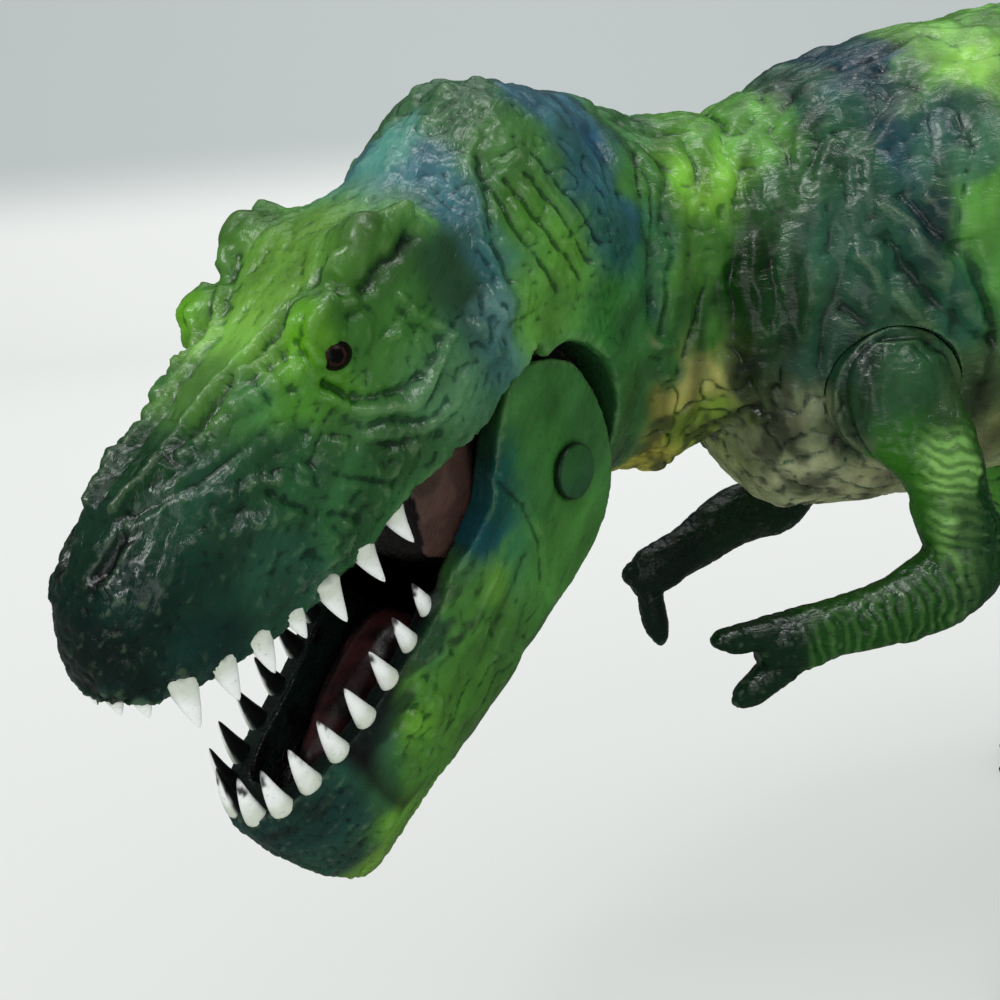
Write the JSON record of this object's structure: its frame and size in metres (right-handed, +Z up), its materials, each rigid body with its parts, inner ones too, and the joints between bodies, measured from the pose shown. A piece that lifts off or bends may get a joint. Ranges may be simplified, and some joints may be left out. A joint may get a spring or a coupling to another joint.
{
  "type": "toy dinosaur figure",
  "caption": "Standing painted plastic toy of a large meat-eating dinosaur, head turned to its left, with a toothed lower jaw that opens on a pin and arms that turn at the shoulders.",
  "frame": {"origin": "centre of the whole figure's box, at floor level under the soles", "axes": "+Z up, the body faces -Y with the tail towards +Y, the figure's own left side is +X"},
  "size_m": [0.0996, 0.328, 0.1279],
  "materials": {
    "painted_skin": "satin painted",
    "painted_jaw": "satin painted",
    "painted_limbs": "satin painted",
    "pin_plastic": "satin painted"
  },
  "bodies": {
    "figure": {"head": "painted_skin", "jaw_pin": "pin_plastic", "jaw_pin_cap": "pin_plastic", "torso": "painted_skin", "tail": "painted_skin", "left_leg": "painted_limbs", "right_leg": "painted_limbs"},
    "jaw": {"lower_jaw": "painted_jaw"},
    "arm_left": {"left_arm": "painted_limbs"},
    "arm_right": {"right_arm": "painted_limbs"}
  },
  "joints": [
    {"name": "jaw_hinge", "type": "hinge", "parent": "figure", "child": "jaw", "pos_m": [0.0083, -0.11833, 0.077], "axis": [0.7429, 0.6668, -0.059], "range_deg": [-24, 5]},
    {"name": "left_shoulder", "type": "hinge", "parent": "figure", "child": "arm_left", "pos_m": [0.0108, -0.06883, 0.0805], "axis": [1, 0, 0], "range_deg": [-30, 30]},
    {"name": "right_shoulder", "type": "hinge", "parent": "figure", "child": "arm_right", "pos_m": [-0.0252, -0.06883, 0.0805], "axis": [1, 0, 0], "range_deg": [-45, 30]}
  ]
}
